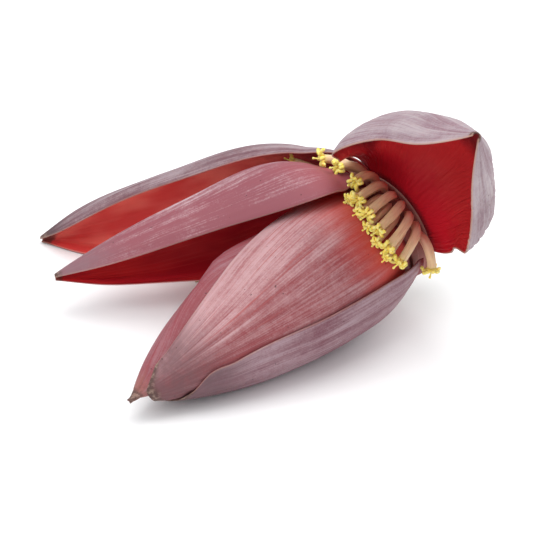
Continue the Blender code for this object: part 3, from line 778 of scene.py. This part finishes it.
def bract_material(name):
    look, s = LOOKS[name], Surface(name)
    flow, turned = s.fact("flow", "Vector"), s.fact("inner")
    side = s.times(s.first(flow), 1 / FLOW_HALF)
    textures = bract_textures(s, flow)
    outer, dry = outer_colour(s, look, flow, side, textures)
    colour = s.mix(turned, outer, hollow_colour(s, look, flow, side, textures["cloud"], dry))
    rim = s.fade(s.fact("margin"), 0.3, 1.3, look.edge, 0.0)
    colour = s.mix(s.times(rim, s.fade(s.fact("root"), 6.0, 14.0)), colour, PALE_EDGE)
    colour = s.mix(s.fade(s.fact("root"), 1.0, 5.0, 0.9, 0.0), colour, FOOT_RED)
    s.bump(bract_height(s, look, flow, turned, textures), 0.35 * MM, 0.6)
    s.put(s.shader.inputs["Specular IOR Level"], s.fade(turned, 0.0, 1.0, 0.30, 0.10))
    rough = s.fade(turned, 0.0, 1.0, 0.58, 0.42)
    return s.finish(colour, rough, Subsurface_Weight=0.05, Subsurface_Scale=0.004)


def tube_material():
    s = Surface("flower_tube")
    flow, reach = s.fact("flow", "Vector"), s.fact("reach")
    lines = s.noise(s.stretched(flow, (1.1, 0.10, 1.0)), 1.0, 3.0, 0.6)
    cloud = s.noise(s.position(), 260.0, 3.0, 0.6)
    body = s.mix(s.fade(reach, 0.15, 0.85), (0.80, 0.46, 0.34), (0.82, 0.58, 0.33))
    body = s.mix(s.fade(lines, 0.45, 0.75, 0.0, 0.5), body, (0.48, 0.22, 0.14))
    body = s.mix(s.fade(cloud, 0.5, 0.8, 0.0, 0.5), body, (0.72, 0.50, 0.33))
    body = s.mix(s.fade(reach, 0.88, 1.0), body, (0.80, 0.62, 0.20))
    s.bump(s.total(lines, s.times(cloud, 0.4)), 0.3 * MM, 0.5)
    return s.finish(body, 0.42, Subsurface_Weight=0.12, Subsurface_Scale=0.003, Specular_IOR_Level=0.45)


def tuft_material(name, pale, yellow, deep):
    s = Surface(name)
    reach, cloud = s.fact("reach"), s.noise(s.position(), 520.0, 3.0, 0.6)
    body = s.mix(s.fade(cloud, 0.35, 0.68), yellow, pale)
    body = s.mix(s.fade(reach, 0.0, 0.3, 0.7, 0.0), body, deep)
    s.bump(cloud, 0.25 * MM, 0.5)
    return s.finish(body, 0.5, Subsurface_Weight=0.15, Subsurface_Scale=0.003, Specular_IOR_Level=0.4)


def stem_material():
    s = Surface("stem")
    place, along, spread = s.position(), s.fact("place"), s.fact("spread")
    cloud, fine = s.noise(place, 120.0, 4.0, 0.6), s.noise(place, 700.0, 3.0, 0.6)
    rings_of_scars = s.noise(s.stretched(place, (420.0, 60.0, 160.0)), 1.0, 3.0, 0.6)
    skin = s.mix(s.fade(cloud, 0.38, 0.66), (0.20, 0.20, 0.075), (0.36, 0.30, 0.14))
    skin = s.mix(s.fade(rings_of_scars, 0.52, 0.68, 0.0, 0.8), skin, (0.15, 0.075, 0.04))
    flush = s.fade(along, -26.0, -14.0)
    skin = s.mix(flush, skin, s.mix(cloud, (0.20, 0.035, 0.035), (0.36, 0.13, 0.10)))
    bundles = s.fade(s.cells(place, 380.0), 0.16, 0.30)
    face = s.mix(bundles, (0.26, 0.15, 0.07), (0.62, 0.52, 0.33))
    face = s.mix(s.fade(fine, 0.45, 0.75, 0.0, 0.6), face, (0.40, 0.27, 0.14))
    face = s.mix(s.fade(spread, 13.0, 16.5, 0.0, 0.7), face, (0.19, 0.12, 0.06))
    end = s.fade(along, -STEM_LENGTH / MM + 0.2, -STEM_LENGTH / MM + 1.2, 1.0, 0.0)
    colour = s.mix(end, skin, face)
    s.bump(s.total(cloud, s.times(fine, 0.5)), 0.6 * MM, 0.6)
    return s.finish(colour, 0.62, Specular_IOR_Level=0.35)


LOOKS = {
    "bract_front": BractLook(
        bloom=(0.50, 0.295, 0.305), flesh=(0.27, 0.062, 0.07), cover=0.36, streak=(0.36, 0.07, 0.07),
        streaks=0.75, root=(0.56, 0.055, 0.038), root_reach=54.0, inside=(0.60, 0.03, 0.035),
        # lean: paler bloom towards the high margin, partly painted light on the lit side
        inside_deep=(0.42, 0.012, 0.02), tip_reach=7.0, lean=0.55, dusk=(62.0, (0.16, 0.07, 0.078)),
    ),
    "bract_outer_wrap": BractLook(
        bloom=(0.40, 0.27, 0.30), flesh=(0.20, 0.072, 0.095), cover=0.50, streak=(0.22, 0.075, 0.095),
        streaks=0.65, root=(0.28, 0.09, 0.10), root_reach=10.0, inside=(0.30, 0.02, 0.03),
        inside_deep=(0.14, 0.006, 0.012), tip_reach=8.0, dusk=(60.0, (0.15, 0.078, 0.09)),
    ),
    "bract_inner_wrap": BractLook(
        bloom=(0.32, 0.155, 0.175), flesh=(0.25, 0.048, 0.06), cover=0.48, streak=(0.24, 0.04, 0.045),
        streaks=0.7, root=(0.32, 0.04, 0.045), root_reach=90.0, inside=(0.60, 0.03, 0.035),
        inside_deep=(0.42, 0.012, 0.02), tip_reach=10.0, dusk=(20.0, (0.30, 0.12, 0.10)),
    ),
    "bract_open_near": BractLook(
        bloom=(0.68, 0.54, 0.56), flesh=(0.27, 0.08, 0.10), cover=0.60, streak=(0.26, 0.075, 0.09),
        streaks=0.7, root=(0.32, 0.075, 0.085), root_reach=70.0, inside=(0.66, 0.032, 0.036),
        # lean: paler bloom towards the high margin, partly painted light on the lit side, painted shade on
        # the low margin
        inside_deep=(0.45, 0.012, 0.022), tip_reach=6.0, lean=0.65, dusk=(50.0, (0.24, 0.13, 0.15)),
    ),
    "bract_open_far": BractLook(
        bloom=(0.38, 0.29, 0.31), flesh=(0.15, 0.06, 0.075), cover=0.52, streak=(0.15, 0.06, 0.075),
        streaks=0.45, root=(0.28, 0.12, 0.13), root_reach=10.0, inside=(0.88, 0.21, 0.165),
        inside_deep=(0.70, 0.07, 0.065), tip_reach=12.0, dusk=(34.0, (0.085, 0.042, 0.048)),
        inside_root=(80.0, (0.34, 0.012, 0.022)),
    ),
    "bract_raised": BractLook(
        bloom=(0.43, 0.35, 0.37), flesh=(0.22, 0.115, 0.145), cover=0.62, streak=(0.27, 0.16, 0.19),
        streaks=0.4, root=(0.22, 0.02, 0.03), root_reach=34.0, inside=(0.52, 0.022, 0.026),
        inside_deep=(0.13, 0.006, 0.010), tip_reach=3.0, inside_lean=-0.25, edge=0.75, fall=0.5,
        inside_root=(34.0, (0.50, 0.008, 0.020)), wrinkles=5.0,
    ),
    "bud_heart": BractLook(
        bloom=(0.40, 0.10, 0.10), flesh=(0.30, 0.05, 0.06), cover=0.3, streak=(0.3, 0.06, 0.06),
        streaks=0.3, root=(0.3, 0.04, 0.05), root_reach=10.0, inside=(0.34, 0.03, 0.03),
        inside_deep=(0.16, 0.01, 0.015), tip_reach=1.0,
    ),
}


# ---------------------------------------------------------------- pieces
def place(item, node, slot, material):
    """Puts a finished piece in the frame, in place of its CAD node."""
    item.name = node + "_look"
    item.data.materials.append(material)
    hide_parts(node)
    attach(item, "root")


def make_bracts():
    for seed, (name, bract) in enumerate(BRACTS.items(), 1):
        columns, wrinkles = (210, 0.4) if name == "bract_raised" else (150, 0)
        outer, inner, facts = bract_surfaces(bract, 150, columns, 10 * seed, wrinkles)
        place(sheet_mesh(name, outer, inner, facts), name, "bract", bract_material(name))


def make_flower(name, path, ways, size, tip_size, seed, tube, tuft):
    """A flower's tube and the tuft at its end."""
    place(tube_mesh(name, path, ways, size, seed), name, "flower_tube", tube)
    tip = tuft_mesh(name + "_tip", path[-1], ways[-1], tip_size, 100 + seed)
    place(tip, name + "_tip", "flower_tip", tuft)


def make_flowers():
    tube = tube_material()
    fresh = tuft_material("flower_tip", (0.92, 0.82, 0.30), (0.88, 0.68, 0.09), (0.72, 0.48, 0.07))
    dull = tuft_material("flower_tip_dry", (0.62, 0.50, 0.30), (0.50, 0.34, 0.14), (0.30, 0.18, 0.08))
    for number, (*where, size) in enumerate(FLOWERS, 1):
        make_flower("flower_%02d" % number, *flower_path(*where), size, size, number, tube, fresh)
    make_flower("flower_fallen", *fallen_path(), 0.95, 0.8, 40, tube, dull)


def make_core():
    place(stem_mesh("stem"), "stem", "stem", stem_material())
    place(heart_mesh("bud_heart"), "bud_heart", "young_bracts", bract_material("bud_heart"))


# ---------------------------------------------------------------- floor, light and camera
CAMERA_AZIMUTH, CAMERA_ELEVATION = math.radians(-39.45), math.radians(32)
CAMERA_PLACE = np.array([-0.7611, -0.8162, 0.7286])  # from the point under the crown's centre
CAMERA_LENS = 130.45
SENSOR_WIDTH = 36.0
FLOOR_REACH = 6.0
LIGHT_SIZE, LIGHT_REACH = 1.3, 1.8
LIGHT_AIM = np.array([0, 0, 0.08])
LIGHTS = (  # name, (right, away, up) from the blossom as the camera sees it, watts
    ("left_front", (-0.8, -0.6, 1.0), 15),
    ("front", (0.1, -1.0, 0.9), 3.5),
    ("top", (0, 0, 1.0), 18),
    ("right_back", (0.9, 0.4, 0.9), 16),
)
SKY, SKY_STRENGTH = (0.93, 0.965, 1.0, 1.0), 0.48


def make_floor():
    mesh = bpy.data.meshes.new("floor")
    corners = [(FLOOR_REACH * x, FLOOR_REACH * y, 0) for x, y in ((-1, -1), (1, -1), (1, 1), (-1, 1))]
    mesh.from_pydata(corners, [], [(0, 1, 2, 3)])
    floor = bpy.data.objects.new("floor", mesh)
    bpy.context.scene.collection.objects.link(floor)
    s = Surface("floor")
    mesh.materials.append(s.finish((0.95, 0.95, 0.95), 0.7, Specular_IOR_Level=0.2))


def add_light(name, direction, power):
    """A square soft light that faces the blossom from the given direction."""
    lamp = bpy.data.lights.new(name, "AREA")
    lamp.shape, lamp.size, lamp.energy = "SQUARE", LIGHT_SIZE, power
    item = bpy.data.objects.new(name, lamp)
    way = direction / np.linalg.norm(direction)
    item.location = way * LIGHT_REACH + LIGHT_AIM
    flat = math.hypot(way[0], way[1])
    item.rotation_euler = (math.atan2(flat, way[2]), 0, math.atan2(way[0], -way[1]))
    bpy.context.scene.collection.objects.link(item)


def make_light():
    right = np.array([math.cos(CAMERA_AZIMUTH), math.sin(CAMERA_AZIMUTH), 0])
    away = np.array([-math.sin(CAMERA_AZIMUTH), math.cos(CAMERA_AZIMUTH), 0])
    up = np.array([0, 0, 1.0])
    for name, (to_right, to_back, to_top), power in LIGHTS:
        add_light(name, to_right * right + to_back * away + to_top * up, power)
    world = bpy.data.worlds.new("studio")
    bpy.context.scene.world = world
    world.use_nodes = True
    sky = world.node_tree.nodes["Background"].inputs
    sky["Color"].default_value = SKY
    sky["Strength"].default_value = SKY_STRENGTH
    bpy.context.scene.view_settings.view_transform = "Standard"


def make_camera():
    lens = bpy.data.cameras.new("camera")
    lens.lens, lens.sensor_width = CAMERA_LENS, SENSOR_WIDTH
    lens.clip_start, lens.clip_end = 0.05, 30.0
    camera = bpy.data.objects.new("camera", lens)
    camera.location = CAMERA_PLACE + SHIFT * np.array([1, 1, 0])
    camera.rotation_euler = (math.pi / 2 - CAMERA_ELEVATION, 0, CAMERA_AZIMUTH)
    bpy.context.scene.collection.objects.link(camera)
    bpy.context.scene.camera = camera


# from the bud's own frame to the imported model's
SHIFT = np.array(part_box("stem")[0]) - turned_rings(CROWN_PROFILE, 32).reshape(-1, 3).min(0)

make_camera()
make_bracts()
make_flowers()
make_core()
make_floor()
make_light()
